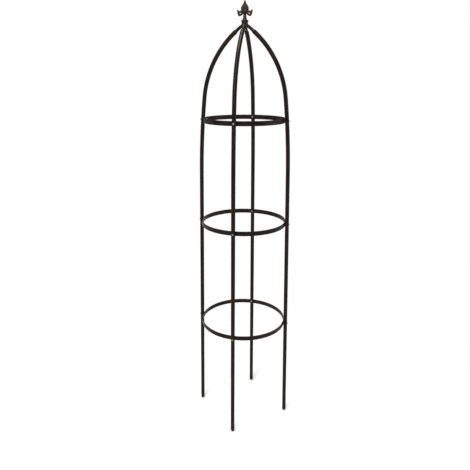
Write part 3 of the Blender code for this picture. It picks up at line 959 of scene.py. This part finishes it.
class OBELISK_OT_build_hoop_fixings(Operator):
    """Pan-head screw and nut at each crossing of a hoop and a leg"""

    bl_idname = "obelisk.build_hoop_fixings"
    bl_label = "Build hoop fixings"

    def execute(self, context):
        sizes = context.scene.obelisk_hoops
        finish = zinc_plate("fixing_zinc_plate")
        nut = nut_blank("nut", sizes.nut_width, sizes.nut_thickness, sizes.screw_radius + CLEARANCE)
        for level in LEVELS:
            height = hoop_middle(level)
            seat = screw_seat(level)
            nut_face = hoop_outer(level) - sizes.thickness - CLEARANCE
            shank = seat - nut_face + sizes.nut_thickness + sizes.screw_end
            screw = combined(screw_blank(f"screw_{level}", shank), cross_bit())
            for number, (corner, azimuth) in enumerate(CORNERS.items()):
                spin = Matrix.Rotation(math.radians(23 + 37 * number + 11 * height), 4, "Z")
                add_piece(
                    f"hoop_screw_{level}_{corner}_plated",
                    screw,
                    outwards(azimuth, seat, height) @ spin,
                    finish,
                    f"hoop_screw_{level}_{corner}",
                )
                add_piece(
                    f"hoop_nut_{level}_{corner}_plated",
                    nut,
                    outwards(azimuth, nut_face - sizes.nut_thickness / 2, height),
                    finish,
                    f"hoop_nut_{level}_{corner}",
                )
        return {"FINISHED"}


# ---------------------------------------------------------------- hub


def hub_levels():
    """Heights of the hub's foot, of the top of its cone and of its upper face."""
    tubes = bpy.context.scene.obelisk_tubes
    sizes = bpy.context.scene.obelisk_crown
    _, end_height, _ = centreline(centreline_end())
    slope = math.tan(tubes.dome_angle)
    clearance = CLEARANCE / math.cos(tubes.dome_angle)
    foot = end_height - (tubes.hub_reach - sizes.hub_foot_radius) * slope + clearance
    cone_top = end_height - (tubes.hub_reach - sizes.hub_radius) * slope + clearance
    return foot, cone_top, cone_top + sizes.hub_body


def cup_blank():
    """Hub without its pins and bore: a cone for the arches to stop at, a waisted cup and a rim."""
    sizes = bpy.context.scene.obelisk_crown
    foot, cone_top, top = hub_levels()
    edge_break = 0.0004
    rim_rounding = 0.0016
    rim_foot = top - sizes.hub_rim_height
    waist = sizes.hub_radius - 0.0003
    profile = [(0, foot), (sizes.hub_foot_radius - edge_break, foot)]
    profile += [(sizes.hub_foot_radius, foot + edge_break)]
    profile += [(sizes.hub_radius - 0.0006, cone_top - 0.0006), (sizes.hub_radius, cone_top)]
    profile += [(sizes.hub_radius, cone_top + 0.0006), (waist, cone_top + 0.004)]
    profile += [(waist, rim_foot - 0.003), (sizes.hub_radius, rim_foot - edge_break)]
    profile += [(sizes.hub_radius, rim_foot), (sizes.hub_rim_radius, rim_foot + 0.0012)]
    steps = 6
    for step in range(steps + 1):
        swing = QUARTER_TURN * step / steps
        radius = sizes.hub_rim_radius - rim_rounding * (1 - math.cos(swing))
        profile.append((radius, top - rim_rounding * (1 - math.sin(swing))))
    profile += [(sizes.flare_radius + edge_break, top), (0, top)]
    bm = bmesh.new()
    turned(bm, profile, 96)
    return solid(bm, "hub")


def pin_blank():
    """Pin of the hub that goes down into an arch on +X, with a narrowed tip."""
    tubes = bpy.context.scene.obelisk_tubes
    sizes = bpy.context.scene.obelisk_crown
    radius = tubes.neck_radius - tubes.wall - CLEARANCE
    end = centreline_end()
    tip = end - sizes.pin_length
    bm = bmesh.new()
    stations = [station(tip, radius * 0.85), station(tip + 0.001, radius)]
    sweep(bm, stations + [station(end + sizes.pin_root, radius)], 32)
    return solid(bm, "pin")


def stud_hole():
    """Radius of the hole for the finial's stud."""
    return bpy.context.scene.obelisk_crown.stud_radius + CLEARANCE


class OBELISK_OT_build_hub(Operator):
    """Cup-shaped hub with a pin for each arch"""

    bl_idname = "obelisk.build_hub"
    bl_label = "Build hub"

    def execute(self, context):
        pin = pin_blank()
        pins = [(pin, Matrix.Rotation(azimuth, 4, "Z")) for azimuth in CORNERS.values()]
        drill = straight_rod("bore", stud_hole(), 0.2, 32)
        bore = (drill, Matrix.Translation((0, 0, hub_levels()[2])))
        hub = combined(combined(cup_blank(), pins, "UNION"), [bore])
        finish = cast_finish("hub_painted_casting")
        add_piece("crown_hub_painted", hub, Matrix(), finish, "crown_hub")
        return {"FINISHED"}


class OBELISK_OT_build_crown_fixings(Operator):
    """Washer and nut under the hub, on the finial's stud"""

    bl_idname = "obelisk.build_crown_fixings"
    bl_label = "Build crown fixings"

    def execute(self, context):
        sizes = context.scene.obelisk_crown
        plate = zinc_plate("crown_zinc_plate")
        washer_top = hub_levels()[0] - CLEARANCE
        washer_foot = washer_top - sizes.washer_thickness
        bm = bmesh.new()
        rounded_bar(bm, stud_hole(), sizes.washer_radius, washer_foot, washer_top, 0.00025, 64)
        washer = solid(bm, "washer")
        add_piece("crown_washer_plated", washer, Matrix(), plate, "crown_washer")
        nut = nut_blank("crown_nut", sizes.nut_width, sizes.nut_thickness, stud_hole())
        place = Matrix.Translation((0, 0, washer_foot - CLEARANCE - sizes.nut_thickness / 2))
        add_piece("crown_nut_plated", nut, place, plate, "crown_nut")
        return {"FINISHED"}


# ---------------------------------------------------------------- finial


def across(point, tangent, width, depth):
    """Matrix of an oval section in the finial: square to a tangent in its plane."""
    along = Vector((tangent[0], 0, tangent[1])).normalized()
    side = Vector((0, 1, 0)).cross(along)
    turn_matrix = Matrix((side, Vector((0, 1, 0)), along)).transposed().to_4x4()
    place = Matrix.Translation((point[0], 0, point[1]))
    return place @ turn_matrix @ Matrix.Diagonal((width, depth, 1, 1))


def curve_points(points, steps):
    """Points on a smooth curve through knots of several numbers each."""
    knots = [Vector(point) for point in points]
    padded = [2 * knots[0] - knots[1]] + knots + [2 * knots[-1] - knots[-2]]
    path = []
    for a, b, c, d in zip(padded, padded[1:], padded[2:], padded[3:]):
        for step in range(steps):
            t = step / steps
            path.append(
                0.5
                * (
                    2 * b
                    + (c - a) * t
                    + (2 * a - 5 * b + 4 * c - d) * t**2
                    + (3 * b - a - 3 * c + d) * t**3
                )
            )
    return path + [knots[-1]]


def strand(bm, knots, sides, steps=6):
    """Tapered strand through knots, each across, up, half width and half depth."""
    path = curve_points(knots, steps)
    stations = []
    for number, here in enumerate(path):
        before = path[max(number - 1, 0)]
        after = path[min(number + 1, len(path) - 1)]
        tangent = (after - before)[:2]
        stations.append(across(here[:2], tangent, max(here[2], 1e-4), max(here[3], 1e-4)))
    sweep(bm, stations, sides)


def add_leaf(bm):
    """Upright leaf, full at its foot and drawn out to a point."""
    sizes = bpy.context.scene.obelisk_crown
    outline = [  # parts of the leaf's height, of its half width and of the flower's half depth
        (0.070, 0.86, 0.60),
        (0.095, 0.98, 0.80),
        (0.16, 1.02, 1.00),
        (0.27, 1.01, 1.02),
        (0.38, 0.93, 1.00),
        (0.48, 0.79, 0.92),
        (0.58, 0.60, 0.80),
        (0.68, 0.41, 0.66),
        (0.80, 0.28, 0.52),
        (0.91, 0.18, 0.38),
    ]
    tip = 0.0008
    knots = [
        (0, sizes.band_height + sizes.leaf_height * up, sizes.leaf_width * wide, sizes.depth * deep)
        for up, wide, deep in outline
    ]
    strand(bm, knots + [(0, sizes.band_height + sizes.leaf_height, tip, tip)], 8)


def add_petals(bm):
    """Two petals that droop from the band: an arm out, an upright blade and a hook back to the stem."""
    sizes = bpy.context.scene.obelisk_crown
    # Distance from the middle, height above the band, half width, part of the flower's half depth
    arm = [
        (0.0030, -0.0030, 0.0054, 0.70),
        (0.0090, -0.0018, 0.0052, 0.74),
        (0.0150, -0.0020, 0.0046, 0.74),
        (0.0205, -0.0042, 0.0040, 0.70),
        (0.0240, -0.0070, 0.0036, 0.62),
    ]
    blade = [
        (0.0286, 0.0046, 0.0016, 0.40),
        (0.0272, 0.0014, 0.0036, 0.70),
        (0.0258, -0.0046, 0.0042, 0.84),
        (0.0240, -0.0106, 0.0042, 0.84),
        (0.0224, -0.0150, 0.0038, 0.76),
        (0.0214, -0.0184, 0.0016, 0.40),
    ]
    hook = [
        (0.0222, -0.0148, 0.0036, 0.66),
        (0.0180, -0.0142, 0.0040, 0.70),
        (0.0134, -0.0116, 0.0042, 0.72),
        (0.0098, -0.0084, 0.0042, 0.70),
        (0.0060, -0.0052, 0.0040, 0.62),
    ]
    for side in (1, -1):
        for outline, sides in ((arm, 12), (blade, 8), (hook, 12)):
            knots = [
                (side * out, sizes.band_height + up, wide, sizes.depth * deep)
                for out, up, wide, deep in outline
            ]
            strand(bm, knots, sides)


def add_band(bm):
    """Band round the flower: a thick bead between two thin ones."""
    sizes = bpy.context.scene.obelisk_crown
    steps = 12
    for rise, size, inset in ((-0.0026, 0.0011, 0.0006), (0, 0.0021, 0), (0.0026, 0.0011, 0.0006)):
        middle = sizes.band_radius - size - inset
        ring = []
        for step in range(steps + 1):
            swing = math.tau * step / steps
            lift = Matrix.Translation((0, 0, sizes.band_height + rise + size * math.sin(swing)))
            radius = middle + size * math.cos(swing)
            ring.append(lift @ Matrix.Diagonal((radius, radius, 1, 1)))
        sweep(bm, ring, 40, closed=True)


def add_stem(bm):
    """Stem with a flared foot, which ends inside the flower."""
    sizes = bpy.context.scene.obelisk_crown
    profile = [
        (0, 0),
        (sizes.flare_radius - 0.0004, 0),
        (sizes.flare_radius, 0.0004),
        (sizes.flare_radius, 0.0016),
        (sizes.flare_radius * 0.90, 0.0028),
        (sizes.flare_radius * 0.81, 0.0052),
        (sizes.flare_radius * 0.74, 0.0084),
        (sizes.stem_radius * 1.02, sizes.flare_height),
        (sizes.stem_radius * 0.97, sizes.flare_height + 0.005),
        (sizes.stem_radius, sizes.band_height - 0.0046),
        (sizes.stem_radius * 1.1, sizes.band_height + 0.0040),
        (0, sizes.band_height + 0.0046),
    ]
    turned(bm, profile, 40)


def casting():
    """Leaf, petals, band and stem melted into one skin and softened."""
    bm = bmesh.new()
    add_leaf(bm)
    add_petals(bm)
    add_band(bm)
    add_stem(bm)
    grain = bpy.context.scene.obelisk_crown.grain
    melt = ("REMESH", {"mode": "VOXEL", "voxel_size": grain})
    soften = ("SMOOTH", {"factor": 0.5, "iterations": 4})
    return shaped(solid(bm, "flower"), [melt, soften])


def stud_rod():
    """Threaded stud that goes down from the stem, through the hub, washer and nut."""
    sizes = bpy.context.scene.obelisk_crown
    foot, _, top = hub_levels()
    fixings = sizes.washer_thickness + sizes.nut_thickness + 2 * CLEARANCE
    end = -(top + CLEARANCE - foot + fixings + sizes.stud_end)
    thread_top = end + 0.012
    inside_stem = 0.002
    profile = [(0, end)] + threaded(sizes.stud_radius, end, thread_top, 0.001)
    profile += [(sizes.stud_radius, thread_top + 0.0005), (sizes.stud_radius, inside_stem)]
    profile += [(0, inside_stem)]
    bm = bmesh.new()
    turned(bm, profile, 32)
    return solid(bm, "stud")


class OBELISK_OT_build_finial(Operator):
    """Cast fleur-de-lis on its flared stem and threaded stud"""

    bl_idname = "obelisk.build_finial"
    bl_label = "Build finial"

    def execute(self, context):
        bm = bmesh.new()
        bm.from_mesh(casting())
        bm.from_mesh(stud_rod())
        joined = bpy.data.meshes.new("finial")
        bm.to_mesh(joined)
        bm.free()
        base = Matrix.Translation((0, 0, hub_levels()[2] + CLEARANCE))
        place = base @ Matrix.Rotation(CORNERS["front_right"], 4, "Z")
        finish = cast_finish("finial_painted_casting")
        add_piece(
            "finial_cast_iron", joined, place, finish, "finial", CAST_TOLERANCE
        )
        return {"FINISHED"}


# ---------------------------------------------------------------- stage


def add_light(name, power, size, place, target):
    """Square softbox that faces a point."""
    light = bpy.data.lights.new(name, "AREA")
    light.energy = power
    light.size = size
    lamp = bpy.data.objects.new(name, light)
    lamp.location = place
    lamp.rotation_euler = (Vector(target) - Vector(place)).to_track_quat("-Z", "Y").to_euler()
    bpy.context.scene.collection.objects.link(lamp)


class OBELISK_OT_build_stage(Operator):
    """Pale floor, soft studio light and camera"""

    bl_idname = "obelisk.build_stage"
    bl_label = "Build stage"

    def execute(self, context):
        scene = context.scene
        stage = scene.obelisk_stage
        bm = bmesh.new()
        bmesh.ops.create_grid(bm, x_segments=1, y_segments=1, size=FLOOR_REACH)
        bmesh.ops.translate(bm, vec=(0, 0, -FLOOR_DROP), verts=bm.verts[:])
        mesh = bpy.data.meshes.new("floor")
        bm.to_mesh(mesh)
        bm.free()
        mesh.materials.append(floor_finish("floor_matt"))
        floor = bpy.data.objects.new("floor", mesh)
        scene.collection.objects.link(floor)

        world = bpy.data.worlds.new("studio")
        world.use_nodes = True
        scene.world = world
        tree = world.node_tree
        background = tree.nodes["Background"]
        background.inputs["Color"].default_value = (1, 1, 1, 1)
        seen = add_node(tree, "ShaderNodeLightPath").outputs["Is Camera Ray"]
        glow = ranged(tree, seen, 0, 1, stage.sky, 1.0)
        tree.links.new(glow, background.inputs["Strength"])
        scene.view_settings.view_transform = "Standard"

        feet = (0, 0, 0)
        shoulder = (0, 0, CAD_BOX[1].z * 0.6)
        add_light("key", stage.key, 1.5, (-2.4, -1.6, 3.2), shoulder)
        add_light("fill", stage.fill, 1.4, (2.4, -2.2, 1.6), shoulder)
        add_light("top", stage.top, 1.5, (-0.3, 0.0, 4.2), feet)

        camera = bpy.data.cameras.new("camera")
        camera.lens = stage.lens
        camera.sensor_width = 36
        camera.clip_start = 0.01
        eye = bpy.data.objects.new("camera", camera)
        eye.location = (
            stage.camera_distance * math.sin(stage.camera_azimuth),
            -stage.camera_distance * math.cos(stage.camera_azimuth),
            stage.camera_height,
        )
        eye.rotation_euler = (
            QUARTER_TURN - stage.camera_pitch,
            0,
            stage.camera_azimuth + stage.camera_turn,
        )
        scene.collection.objects.link(eye)
        scene.camera = eye
        return {"FINISHED"}


# ---------------------------------------------------------------- panel and registration


BUILD_ORDER = (
    OBELISK_OT_build_stage,
    OBELISK_OT_build_legs,
    OBELISK_OT_build_hoops,
    OBELISK_OT_build_hoop_fixings,
    OBELISK_OT_build_hub,
    OBELISK_OT_build_crown_fixings,
    OBELISK_OT_build_finial,
)
SETTINGS = {
    "obelisk_tubes": ObeliskTubeSizes,
    "obelisk_hoops": ObeliskHoopSizes,
    "obelisk_crown": ObeliskCrownSizes,
    "obelisk_colours": ObeliskColours,
    "obelisk_stage": ObeliskStage,
}


class OBELISK_PT_builder(Panel):
    """Lists the sizes, the colours and the steps that build the obelisk"""

    bl_idname = "OBELISK_PT_builder"
    bl_label = "Garden obelisk"
    bl_space_type = "VIEW_3D"
    bl_region_type = "UI"
    bl_category = "Obelisk"

    def draw(self, context):
        for step in BUILD_ORDER:
            self.layout.operator(step.bl_idname)
        for settings, group in SETTINGS.items():
            box = self.layout.box()
            box.label(text=group.__doc__)
            for setting in group.__annotations__:
                box.prop(getattr(context.scene, settings), setting)


def register():
    for group in SETTINGS.values():
        bpy.utils.register_class(group)
    for settings, group in SETTINGS.items():
        setattr(bpy.types.Scene, settings, PointerProperty(type=group))
    for step in BUILD_ORDER:
        bpy.utils.register_class(step)
    bpy.utils.register_class(OBELISK_PT_builder)


def unregister():
    bpy.utils.unregister_class(OBELISK_PT_builder)
    for step in reversed(BUILD_ORDER):
        bpy.utils.unregister_class(step)
    for settings, group in reversed(SETTINGS.items()):
        delattr(bpy.types.Scene, settings)
        bpy.utils.unregister_class(group)


def main():
    register()
    bpy.ops.obelisk.build_stage()
    bpy.ops.obelisk.build_legs()
    bpy.ops.obelisk.build_hoops()
    bpy.ops.obelisk.build_hoop_fixings()
    bpy.ops.obelisk.build_hub()
    bpy.ops.obelisk.build_crown_fixings()
    bpy.ops.obelisk.build_finial()


if __name__ == "__main__":
    main()
